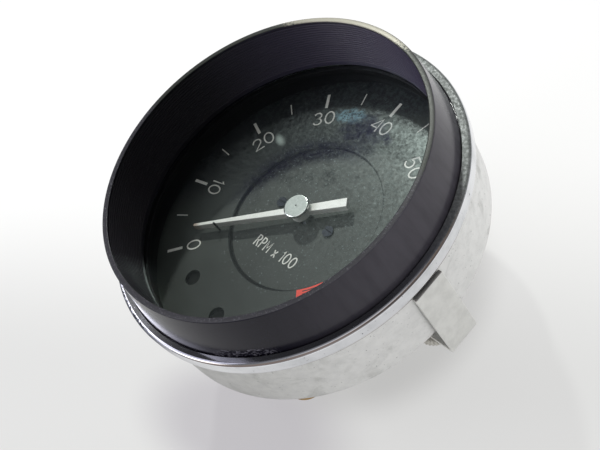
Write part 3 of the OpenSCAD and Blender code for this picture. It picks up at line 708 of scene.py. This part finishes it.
# Each glyph: its width, and its lines as (points, closed)
GLYPHS = {
    "0": (0.66, [(bow(0.33, 0.5, 0.33, 0.5, 0, 345, 24), True)]),
    "1": (0.12, [([(0.0, 0.84), (0.12, 1.0), (0.12, 0)], False)]),
    "2": (0.62, [([(0.0, 0.74)] + bow(0.3, 0.70, 0.30, 0.30, 165, -32)
                  + [(0.0, 0.0), (0.62, 0.0)], False)]),
    "3": (0.6, [(bow(0.27, 0.76, 0.26, 0.24, 150, -95), False),
                (bow(0.29, 0.26, 0.30, 0.26, 95, -150), False)]),
    "4": (0.56, [([(0.56, 0), (0.56, 1.0), (0.0, 0.27), (0.56, 0.27)], False)]),
    "5": (0.6, [([(0.54, 1.0), (0.12, 1.0), (0.06, 0.56)] + bow(0.27, 0.31, 0.31, 0.31, 125, -145), False)]),
    "6": (0.62, [([(0.46, 1.0)] + bow(0.55, 0.36, 0.53, 0.62, 115, 178, 8), False),
                 (bow(0.31, 0.3, 0.3, 0.3, 0, 342, 20), True)]),
    "7": (0.58, [([(0.0, 1.0), (0.58, 1.0), (0.2, 0.0)], False)]),
    "8": (0.6, [(bow(0.3, 0.76, 0.25, 0.24, 0, 340, 18), True),
                (bow(0.3, 0.26, 0.3, 0.26, 0, 340, 18), True)]),
    "R": (0.5, [([(0.0, 0.0), (0.0, 1.0), (0.24, 1.0)] + bow(0.24, 0.76, 0.24, 0.24, 90, -90)
                 + [(0.0, 0.52)], False), ([(0.24, 0.52), (0.5, 0.0)], False)]),
    "P": (0.48, [([(0.0, 0.0), (0.0, 1.0), (0.24, 1.0)] + bow(0.24, 0.75, 0.24, 0.25, 90, -90)
                  + [(0.0, 0.5)], False)]),
    "M": (0.68, [([(0.0, 0.0), (0.0, 1.0), (0.34, 0.3), (0.68, 1.0), (0.68, 0.0)], False)]),
    "x": (0.4, [([(0.0, 0.0), (0.4, 0.55)], False), ([(0.0, 0.55), (0.4, 0.0)], False)]),
    " ": (0.22, []),
}


def lettering(text, height, stretch, stroke, gap, distance, angle, low, high):
    """Ribbons that spell the text, centred at that distance and angle from the axis with its top outwards
    where distance is above 0. Stretch widens the letters, and gap is the space between strokes' middles."""
    tall = height - stroke
    wide = tall * stretch
    run = sum(GLYPHS[c][0] * wide for c in text) + gap * (len(text) - 1)
    up = np.array(polar(1.0, angle))
    along = np.array([up[1], -up[0]])
    x, shapes = -run / 2, []
    for c in text:
        for points, closed in GLYPHS[c][1]:
            p = np.asarray(points, float)
            local = (x + p[:, :1] * wide) * along + (distance + (p[:, 1:] - 0.5) * tall) * up
            if not closed:
                ends = local[[0, -1]] - local[[1, -2]]
                local[[0, -1]] += ends / np.linalg.norm(ends, axis=1)[:, None] * stroke / 2
            shapes.append(ribbon(local, stroke, low, high, closed))
        x += GLYPHS[c][0] * wide + gap
    return shapes


# Sizes and colours that a user may change

def number(label, about, value, **settings):
    """A number property, 0 or more."""
    return bpy.props.FloatProperty(name=label, description=about, default=value, min=0.0, **settings)


def length(label, about, value):
    """A length property, in metres, from millimetres."""
    return number(label, about, value * MM, unit="LENGTH", subtype="DISTANCE", precision=5)


def colour(label, about, value):
    """A colour property from an sRGB hex value."""
    return bpy.props.FloatVectorProperty(name=label, description=about, default=linear(value)[:3],
                                         subtype="COLOR", size=3, min=0.0, max=1.0)


class TachometerSizes(bpy.types.PropertyGroup):
    """Sizes of the drawn detail. The main sizes come from the frame."""
    groove_pitch: length("Groove pitch", "Distance from one anti-glare groove to the next", 0.88)
    groove_depth: length("Groove depth", "Depth of the anti-glare grooves", 0.35)
    numeral_height: length("Numeral height", "Height of the numbers of the scale", 4.7)
    numeral_stroke: length("Numeral stroke", "Width of the lines of the numbers", 0.44)
    major_width: length("Long mark width", "Width of the marks beside the numbers", 0.9)
    minor_width: length("Short mark width", "Width of the marks between the numbers", 0.32)
    ink_height: length("Ink height", "Thickness of the printing on the dial", 0.03)
    thread_pitch: length("Spigot thread", "Pitch of the drive spigot's thread", 1.5)
    stud_pitch: length("Stud thread", "Pitch of the clamp studs' thread", 0.7)
    knurls: bpy.props.IntProperty(name="Knurls", description="Ridges round each knurled nut", default=40,
                                  min=12)
    edge: length("Edge radius", "Softness of the edges of the rings round the glass", 0.12)


class TachometerLight(bpy.types.PropertyGroup):
    """Light and colours of the stage."""
    room: number("Room light", "Strength of the white room's light", 0.42)
    dim: number("Dim corner", "Strength of the room's light where the glass mirrors it to the camera", 0.2)
    ceiling: number("Ceiling", "Strength of the light straight above", 1.25)
    side: number("Side window", "Strength of a small window beside the large one", 3.0)
    dark: number("Dark side", "Strength of the room's light behind the camera", 0.12)
    key: number("Key light", "Power of the small key lamp, in watts", 8.5, unit="POWER")
    window: number("Window light", "Power of the large cool light at the lower left, in watts", 7.0,
                   unit="POWER")
    lens: number("Lens", "Focal length of the camera in mm", 54.995)
    room_colour: colour("Room colour", "Colour of the white room", "#fdfdff")
    key_colour: colour("Key colour", "Colour of the key lamp", "#fbfffa")
    window_colour: colour("Window colour", "Colour of the window's light", "#ebeaf6")


def mm(value):
    """A length property in millimetres."""
    return value / MM


class PieceOperator:
    """What the building operators share."""
    bl_options = {"REGISTER", "UNDO"}

    def execute(self, context):
        self.build(context.scene.tachometer_sizes)
        return {"FINISHED"}


class TACHOMETER_OT_case(PieceOperator, bpy.types.Operator):
    """Builds the spun case and the bezel ring"""
    bl_idname = "tachometer.case"
    bl_label = "Case and Bezel"

    def build(self, sizes):
        back = [(20.5, 0), (47.5, 0)]
        corner = bow(47.5, 2.5, 2.5, 2.5, -90, 0, 10)[1:]
        inner = bow(47.5, 2.5, 1.5, 1.5, 0, -90, 8)
        shell = back + corner + [(50, 22.35), (49.85, 22.5), (49.15, 22.5), (49, 22.35)] + inner + [(20.5, 1)]
        holes = [(*polar(LAMP_CIRCLE, a), 5.95) for a in WARNING_ANGLES + LIGHT_ANGLES]
        holes += [(*polar(STUD_CIRCLE, a), 2.0) for a in STUD_ANGLES]
        holes += [(*polar(STUD_CIRCLE, EARTH_ANGLE), 1.5)]
        holes += [(*polar(SCREW_CIRCLE, a), 1.5) for a in SCREW_ANGLES]
        piece("case_spun", [turned(shell)], "spun_aluminium", "case", ["case_shell"], holes)
        # The bezel's skirt ends in a turned-under edge, and its flat face rolls into a round shoulder
        ring = [(50.25, 20.15), (50.4, 20.0), (50.7, 20.0), (51.3, 21.2), (51.4, 21.5), (51.4, 24.1)]
        ring += bow(50.3, 24.2, 1.1, 1.0, 6, 90, 14)
        ring += [(49.05, 25.2), (48.9, 25.05), (48.9, 24.05), (50.25, 24.05)]
        piece("bezel_chromed", [turned(ring, around=360)], "chrome", "case", ["bezel_ring"])


class TACHOMETER_OT_hood(PieceOperator, bpy.types.Operator):
    """Builds the deep hood with its grooved bore"""
    bl_idname = "tachometer.hood"
    bl_label = "Hood"

    def build(self, sizes):
        pitch, depth = mm(sizes.groove_pitch), mm(sizes.groove_depth)
        # The grooves start 0.6 below the rim and end at least as far above the seat
        count = int((RIM - SEAT - 1.2) / pitch + 1e-6)
        start = RIM - 0.6 - count * pitch
        # One groove's profile is a rounded V; the whole bore is that row repeated from the rim downwards
        s = np.array([0.0, 0.12, 0.27, 0.37, 0.47, 0.62, 0.72])
        d = np.array([0.0, 0.25, 0.85, 1.0, 0.85, 0.25, 0.0])
        z = start + (np.arange(count)[:, None] + s[None, :]) * pitch
        bore = np.stack([45 + depth * np.tile(d, (count, 1)), z], -1).reshape(-1, 2)[::-1]
        outside = [(47.1, 16.4), (48.7, 16.4), (48.7, 22.5), (50.0, 22.5), (50.0, 24.0), (48.7, 24.0),
                   (48.7, 25.2)]
        outside += [(46.5, RIM - 0.15), (46.44, RIM - 0.05), (46.35, RIM), (45.15, RIM), (45.05, RIM - 0.05),
                    (45.0, RIM - 0.15)]
        profile = np.concatenate([outside, bore, [(45.0, SEAT), (47.1, SEAT)]])
        piece("hood_turned", [turned(profile, around=320)], "black_anodised", "case", ["hood"], sharp=50.0)


class TACHOMETER_OT_glass(PieceOperator, bpy.types.Operator):
    """Builds the front glass and the rings that hold it"""
    bl_idname = "tachometer.glass"
    bl_label = "Glass and Rings"

    def build(self, sizes):
        lens = [(0, GLASS_BACK), (46.85, GLASS_BACK), (47, GLASS_BACK + 0.15), (47, GLASS_FRONT - 0.15),
                (46.85, GLASS_FRONT), (0, GLASS_FRONT)]
        piece("front_glass", [turned(lens)], "glass", "case", ["glass_lens"])
        # Each ring is a rectangle: inner and outer radius, low and high. Two are drawn clear of the glass
        rings = (("glass_seal_ring", "rubber", "hood_seal", 45.3, 47, GLASS_FRONT + 0.02, SEAT),
                 ("glass_retaining_ring", "black_paint", "glass_retainer", 45.2, 47.1, 16.6,
                  GLASS_BACK - 0.02),
                 ("dial_spacer", "black_paint", "spacer_ring", 47, 48.8, DIAL_FACE, 16.4))
        for name, slot, node, inner, outer, low, high in rings:
            outline = soften([(inner, low), (outer, low), (outer, high), (inner, high)], mm(sizes.edge))
            piece(name, [turned(outline)], slot, "case", [node])


class TACHOMETER_OT_dial(PieceOperator, bpy.types.Operator):
    """Builds the dial plate with its recessed middle, and its eyelet"""
    bl_idname = "tachometer.dial"
    bl_label = "Dial Plate"

    def build(self, sizes):
        plate = [(2.2, 8.8), (24.1, 8.8), (24.1, 9.5), (48.5, 9.5), (48.5, 10.4), (48.4, DIAL_FACE),
                 (23.35, DIAL_FACE), (23.2, 10.45), (23.1, 10.3), (23.05, 10.0), (22.95, 9.85),
                 (22.8, RECESS_FACE), (2.3, RECESS_FACE), (2.2, 9.7)]
        # Holes for the lamp windows, the dial screws, the eyelet and the stop pin beside the resting pointer
        holes = [(*polar(LAMP_CIRCLE, a), 2.4) for a in WARNING_ANGLES]
        holes += [(*polar(9.9, a), 0.8) for a in (0, 180)]
        holes += [(*polar(EYELET_CIRCLE, EYELET_ANGLE), 0.6), (*polar(26.5, REST_ANGLE + 2.58), 0.3)]
        piece("dial_plate", [turned(plate)], "dial_paint", "case", ["dial"], holes)
        rim = [(0.6, 9.2), (0.6, DIAL_FACE), (0.95, DIAL_FACE), (0.93, 10.6), (0.8, 10.65), (0.55, 10.65),
               (0.45, 10.6), (0.4, DIAL_FACE), (0.4, 9.2)]
        piece("dial_eyelet", [turned(rim, polar(EYELET_CIRCLE, EYELET_ANGLE), 48)], "brass", "case",
              ["dial_rivet"], coat="black_paint")


class TACHOMETER_OT_printing(PieceOperator, bpy.types.Operator):
    """Prints the scale, the unit and the end sector on the dial"""
    bl_idname = "tachometer.printing"
    bl_label = "Dial Printing"

    def build(self, sizes):
        low, high = DIAL_FACE, DIAL_FACE + mm(sizes.ink_height)
        marks, numbers = [], []
        for value in range(0, SCALE_END + 1, 5):
            angle = SCALE_START - SCALE_STEP * value
            major = value % 10 == 0
            inner, width = (38.0, mm(sizes.major_width)) if major else (39.0, mm(sizes.minor_width))
            marks.append(ribbon([polar(inner, angle), polar(43.0, angle)], width, low, high))
            if major:
                # The lowest numbers on both sides are turned over, so that they still read upright, and the
                # 50 stands a little further in
                over = value in (0, 10, 70, 80)
                reach = 33.5 if value == 50 else 34.2
                numbers += lettering(str(value), mm(sizes.numeral_height), 1.0, mm(sizes.numeral_stroke),
                                     1.15, -reach if over else reach, angle + 180 * over, low, high)
        # The screen was laid a little off the dial's centre
        off = (-0.3, -0.55, 0.0)
        piece("scale_marks", [moved(s, at=off) for s in marks], "white_ink", "case")
        piece("scale_numbers", [moved(s, at=off) for s in numbers], "white_ink", "case")
        unit = lettering("RPM x 100", 3.6, 0.78, 0.38, 0.8, -12.5, 91, RECESS_FACE,
                         RECESS_FACE + mm(sizes.ink_height))
        piece("unit_line", unit, "white_ink", "case")
        # A red band whose two ends are solid, with thin bars between them
        ends = [[polar(25.3, a) for a in np.linspace(*pair, 5)] for pair in ((-49.3, -45.3), (-35.3, -31.0))]
        bars = [[polar(23.62 + 0.84 * k, a) for a in np.linspace(-45.3, -35.3, 12)] for k in range(5)]
        band = [ribbon(path, 3.9, low, high) for path in ends]
        band += [ribbon(path, 0.54, low, high) for path in bars]
        piece("end_sector", band, "red_ink", "case")


class TACHOMETER_OT_pointer(PieceOperator, bpy.types.Operator):
    """Builds the pointer and the cap on its hub"""
    bl_idname = "tachometer.pointer"
    bl_label = "Pointer"

    def build(self, sizes):
        # Sections along the pointer are rectangles with chamfered edges, and narrow evenly to the tip
        tail, tip, chamfer = -14.2, 33.6, 0.1
        x = np.array([tail, tail + chamfer, tip - chamfer, tip])
        half = 1.4 - (x - tail) * (0.98 / (tip - tail))
        half[[0, 3]] -= chamfer
        cut = np.array([chamfer, chamfer, 0.06, 0.04])
        inset = np.array([chamfer, 0, 0, chamfer])
        low, high = 11.9 + inset, 13.9 - inset
        side = [(-half, low + cut), (-half + cut, low), (half - cut, low), (half, low + cut),
                (half, high - cut), (half - cut, high), (-half + cut, high), (-half, high - cut)]
        sections = np.stack([np.stack([x, y, z], -1) for y, z in side], 1)
        arm = moved(lofted(sections), REST_ANGLE)
        eye = turned(soften([(1.2, 11.9), (2.9, 11.9), (2.9, 14.95), (1.2, 14.95)], 0.1), around=96)
        piece("pointer_body", [arm, eye], "pointer_paint", "pointer", ["pointer_arm"])
        cap = [(0, 14.95), (3.65, 14.95), (3.75, 15.05)] + bow(3.3, 15.35, 0.45, 0.4, 0, 90, 8)
        cap += [(0.42, 15.75), (0.36, 15.75), (0.2, 15.7), (0.1, 15.5), (0, 15.48)]
        piece("pointer_cap", [turned(cap, around=128)], "satin_metal", "pointer", ["hub_cap"])


class TACHOMETER_OT_housing(PieceOperator, bpy.types.Operator):
    """Builds the movement housing and the threaded drive spigot"""
    bl_idname = "tachometer.housing"
    bl_label = "Housing and Spigot"

    def build(self, sizes):
        outline = [(7, HOUSING_END), (22, HOUSING_END), (22, -1.5), (27, -1.5), (27, 0), (20.5, 0),
                   (20.5, HOUSING_END + 1.5), (7, HOUSING_END + 1.5)]
        holes = [(*polar(SCREW_CIRCLE, a), 1.5) for a in SCREW_ANGLES]
        piece("housing_cast", [turned(soften(outline, 0.5))], "zinc_casting", "case",
              ["movement_housing"], holes)
        # A hexagon 20 mm across flats: its radius at angle a is 10 / cos(a mod 60 degrees - 30 degrees).
        # A cone cuts its corners near both faces
        a = np.linspace(0, 2 * np.pi, 144, endpoint=False)
        hexagon = 10.0 / np.cos(a % (np.pi / 3) - np.pi / 6)
        steps = np.array([0.0, 0.2, 0.4, 0.6])
        z = np.r_[HEX_END + steps, HOUSING_END - steps[::-1]]
        cone = np.array([10.3, 10.75, 11.2, 11.6, 11.6, 11.2, 10.75, 10.3])
        r = np.minimum(hexagon[None, :], cone[:, None])
        rows = np.stack([r * np.cos(a), r * np.sin(a), np.repeat(z[:, None], len(a), 1)], -1)
        bore = np.stack([np.stack([5 * np.cos(a), 5 * np.sin(a), 0 * a + h], -1)
                         for h in (HOUSING_END, HEX_END)])
        collar = (np.concatenate([rows, bore]).reshape(-1, 3), quads(len(z) + 2, len(a)))
        stub = turned(soften([(5, HOUSING_END), (7, HOUSING_END), (7, -12), (5, -12)], 0.2), around=96)
        tail = [(8.1, HEX_END), (5, HEX_END), (5, -24), (6, -24), (6, SPIGOT_END + 0.3), (6.3, SPIGOT_END)]
        thread = threaded(9.0, 0.8, mm(sizes.thread_pitch), SPIGOT_END, HEX_END - 0.4, tail, 120)
        piece("spigot_threaded", [thread, collar, stub], "nickel_plate", "case", ["drive_spigot"], sharp=40.0)


class TACHOMETER_OT_lamps(PieceOperator, bpy.types.Operator):
    """Builds the drawn lamp sockets"""
    bl_idname = "tachometer.lamps"
    bl_label = "Lamp Sockets"

    def build(self, sizes):
        # From the rolled edge at the back, round the groove, to the tube inside the case
        outline = [(5.4, -18), (6.3, -18), (6.45, -17.9), (6.5, -17.6), (6.5, -15.2), (6.42, -14.8),
                   (6.2, -14.6), (6.2, -13.9), (6.42, -13.7), (6.5, -13.3), (6.5, -1.2), (6.5, -0.15),
                   (6.35, 0), (5.9, 0.02), (5.9, 3.9), (5.8, 4.4), (5.65, 4.5), (5.4, 4.4)]
        made = [turned(outline, polar(LAMP_CIRCLE, a), 96) for a in WARNING_ANGLES + LIGHT_ANGLES]
        piece("lamp_sockets_drawn", made, "brass", "case", ["lamp_sockets"], sharp=40.0)


class TACHOMETER_OT_clamps(PieceOperator, bpy.types.Operator):
    """Builds the clamp feet, knurled nuts and threaded studs"""
    bl_idname = "tachometer.clamps"
    bl_label = "Clamps"

    def build(self, sizes):
        # The strap's side outline: outer face down the leg and along the bar, then back along the inner face
        front, rear, thick, bend, toe_end, sole = 50.25, 51.55, 1.2, 2.0, 32.2, -7.6
        heel, toe = (rear + thick - bend, bend + sole), (toe_end + bend, bend + sole)
        outline = [(front + 0.1, 19.4), (front + thick - 0.1, 19.4), (front + thick, 19.3)]
        outline += bow(*heel, bend, bend, 0, -90, 10) + bow(*toe, bend, bend, -90, -180, 10)
        outline += [(toe_end, -0.5), (toe_end + 0.1, -0.4), (toe_end + thick - 0.1, -0.4),
                    (toe_end + thick, -0.5)]
        outline += bow(*toe, bend - thick, bend - thick, -180, -90, 6)
        outline += bow(*heel, bend - thick, bend - thick, -90, 0, 6) + [(front, 19.3)]
        outline = np.array(outline)[::-1]
        # The strap's two side faces are drawn in by its chamfer
        chamfer, half = 0.15, 4.75
        inner = outline + shifts(outline) * chamfer
        stations = [(inner, -half), (outline, chamfer - half), (outline, half - chamfer), (inner, half)]
        strap = lofted([np.c_[o[:, 0], np.full(len(o), y), o[:, 1]] for o, y in stations])
        count = sizes.knurls

        def ripple(a):
            return 0.45 * (1 - np.abs(np.sin(a * count / 2)) ** 0.8)

        nut = [(2.05, -12.3), (2.25, -12.4), (4.1, -12.4), (4.3, -12.2), (4.3, -11.4), (5.6, -11.4),
               (6.2, -11.3), (6.5, -11.0), (6.5, -8.8), (6.2, -8.5), (5.6, -8.4), (2.25, -8.4), (2.05, -8.5)]
        grip = [0, 0, 0, 0, 0, 0, 0.3, 1, 1, 0.3, 0, 0, 0]
        studs = []
        head = [(0, 1), (3.9, 1), (4, 1.1), (4, 2.3), (3.9, 2.4), (0, 2.4)]
        stud_end = -16.0
        tail = [(1.9, 1.0), (0, 1.0), (0, stud_end)]
        for side, angle in zip(("right", "left"), STUD_ANGLES):
            centre = polar(STUD_CIRCLE, angle)
            piece(f"clamp_strap_{side}", [moved(strap, angle)], "galvanised_steel", f"clamp_{side}",
                  [f"clamp_foot_{side}"], [(*centre, 2.3)])
            piece(f"knurled_nut_{side}", [turned(nut, centre, 8 * count, ripple, grip)], "nickel_plate",
                  f"nut_{side}", [f"clamp_nut_{side}"], sharp=25.0)
            studs.append(threaded(2.0, 0.32, mm(sizes.stud_pitch), stud_end, 0.99, tail, 40, centre, 0.4))
            studs.append(turned(head, centre, 64))
        piece("studs_threaded", studs, "steel", "case", ["clamp_studs"])


# Nodes that don't look like the rest of their slot: painted over when they were fitted, or blued
COATS = {"pointer_bush": "pointer_paint", "dial_screws": "blued_steel", "spring_collet": "blued_steel",
         "upper_bearing": "blued_steel"}


class TACHOMETER_OT_finishes(PieceOperator, bpy.types.Operator):
    """Gives each node that is carried over from the frame its finish"""
    bl_idname = "tachometer.finishes"
    bl_label = "Finishes of Carried-over Parts"

    def build(self, sizes):
        for part in frame["record"]["subparts"]:
            node = frame["nodes"][part["node"]]
            if not node.hide_render:
                for place in node.material_slots:
                    place.material = finish(COATS.get(part["node"], part["material_slot"]))


# Where the lights stand as seen from the dial: angle about the axis and height above the ground, in degrees
KEY_PLACE = (139.5, 46.0)
WINDOW_PLACE = (215.0, 42.0)
SIDE_WINDOW = (240.0, 37.0)
DIM_CORNER = (168.0, 47.0)
DARK_SIDE = (25.0, 45.0)
OVERHEAD = (0.0, 90.0)

# How far the lamps stand from the middle of the dial, and how high that is
LAMP_REACH = 1.2
DIAL_HEIGHT = 0.045

# The camera, as fitted to the photo: place in metres, turn in degrees and width of its picture area in mm
CAMERA_PLACE = (0.164996, -0.041922, 0.227428)
CAMERA_TURN = (35.4141, 24.8895, 45.9314)
SENSOR = 36.0


def toward(place):
    """The unit vector towards an angle about the axis and a height, both in degrees."""
    a, h = (math.radians(v) for v in place)
    return Vector((math.cos(a) * math.cos(h), math.sin(a) * math.cos(h), math.sin(h)))


def lobe(room, place, wide, narrow):
    """A part of the room: 0 where the light comes from over wide degrees off a place, 1 within narrow."""
    ray = room.add("ShaderNodeTexCoord").outputs["Generated"]
    cosine = room.add("ShaderNodeVectorMath", {0: ray, 1: toward(place)}, operation="DOT_PRODUCT")
    return room.between(cosine.outputs["Value"], *(math.cos(math.radians(v)) for v in (wide, narrow)))


def lamp_at(name, place, size, power, tint):
    """A round lamp as wide as size, turned to face the dial."""
    made = bpy.data.lights.new(name, "AREA")
    made.shape, made.size, made.energy, made.color = "DISK", size, power, tint
    lamp = bpy.data.objects.new(name, made)
    lamp.location = Vector((0, 0, DIAL_HEIGHT)) + toward(place) * LAMP_REACH
    lamp.rotation_euler = (-toward(place)).to_track_quat("-Z", "Y").to_euler()
    bpy.context.scene.collection.objects.link(lamp)


class TACHOMETER_OT_stage(bpy.types.Operator):
    """Sets up the pale ground, the white room, two lamps and the camera"""
    bl_idname = "tachometer.stage"
    bl_label = "Stage"
    bl_options = {"REGISTER", "UNDO"}

    def execute(self, context):
        scene = context.scene
        light = scene.tachometer_light
        # The ground is a flat grid 3 m wide
        steps = np.linspace(-1.5, 1.5, 13)
        x, y = np.meshgrid(steps, steps)
        mesh = bpy.data.meshes.new("ground")
        mesh.from_pydata(np.stack([x.ravel(), y.ravel(), 0 * x.ravel()], 1), [], quads(13, 13, False, False))
        mesh.materials.append(finish("ground"))
        ground = bpy.data.objects.new("ground", mesh)
        scene.collection.objects.link(ground)
        room = Nodes(bpy.data.worlds.new("white_room"))
        shade = room.tree.nodes["Background"]
        shade.inputs["Color"].default_value = (*light.room_colour, 1.0)
        # The room is white, with a dim corner that the glass mirrors, the dark side where the camera stands,
        # a brighter ceiling and a small bright window
        strength = light.room
        for place, wide, narrow, level in ((DIM_CORNER, 36.0, 14.0, light.dim),
                                           (DARK_SIDE, 50.0, 27.0, light.dark),
                                           (OVERHEAD, 34.0, 20.0, light.ceiling),
                                           (SIDE_WINDOW, 13.0, 7.0, light.side)):
            strength = room.blend(lobe(room, place, wide, narrow), strength, level)
        # Past the edge of the ground there is plain white. Metal and glass mirror the room with its windows
        ray = room.add("ShaderNodeLightPath").outputs
        seen = room.worked("MAXIMUM", ray["Is Camera Ray"], ray["Is Transmission Ray"])
        room.fill(shade.inputs["Strength"], room.blend(seen, strength, 1.0))
        scene.world = room.owner
        lamp_at("key_lamp", KEY_PLACE, 0.07, light.key, light.key_colour)
        lamp_at("window_light", WINDOW_PLACE, 0.8, light.window, light.window_colour)
        optics = bpy.data.cameras.new("camera")
        optics.lens, optics.sensor_width = light.lens, SENSOR
        optics.clip_start, optics.clip_end = 0.01, 10.0
        camera = bpy.data.objects.new("camera", optics)
        camera.location = CAMERA_PLACE
        camera.rotation_euler = Euler([math.radians(v) for v in CAMERA_TURN], "XYZ")
        scene.collection.objects.link(camera)
        scene.camera = camera
        scene.view_settings.view_transform = "Standard"
        return {"FINISHED"}


STEPS = (TACHOMETER_OT_stage, TACHOMETER_OT_case, TACHOMETER_OT_hood, TACHOMETER_OT_glass, TACHOMETER_OT_dial,
         TACHOMETER_OT_printing, TACHOMETER_OT_pointer, TACHOMETER_OT_housing, TACHOMETER_OT_lamps,
         TACHOMETER_OT_clamps, TACHOMETER_OT_finishes)


class TACHOMETER_PT_panel(bpy.types.Panel):
    """Lists the steps and what can be changed"""
    bl_idname = "TACHOMETER_PT_panel"
    bl_label = "Tachometer"
    bl_space_type = "VIEW_3D"
    bl_region_type = "UI"
    bl_category = "Tachometer"

    def draw(self, context):
        for step in STEPS:
            self.layout.operator(step.bl_idname)
        for group in (context.scene.tachometer_sizes, context.scene.tachometer_light):
            for name in group.__annotations__:
                self.layout.prop(group, name)


CLASSES = (TachometerSizes, TachometerLight, *STEPS, TACHOMETER_PT_panel)


def register():
    for entry in CLASSES:
        bpy.utils.register_class(entry)
    bpy.types.Scene.tachometer_sizes = bpy.props.PointerProperty(type=TachometerSizes)
    bpy.types.Scene.tachometer_light = bpy.props.PointerProperty(type=TachometerLight)


def unregister():
    del bpy.types.Scene.tachometer_light
    del bpy.types.Scene.tachometer_sizes
    for entry in reversed(CLASSES):
        bpy.utils.unregister_class(entry)


def main():
    register()
    for step in STEPS:
        group, name = step.bl_idname.split(".")
        getattr(getattr(bpy.ops, group), name)()


if __name__ == "__main__":
    main()
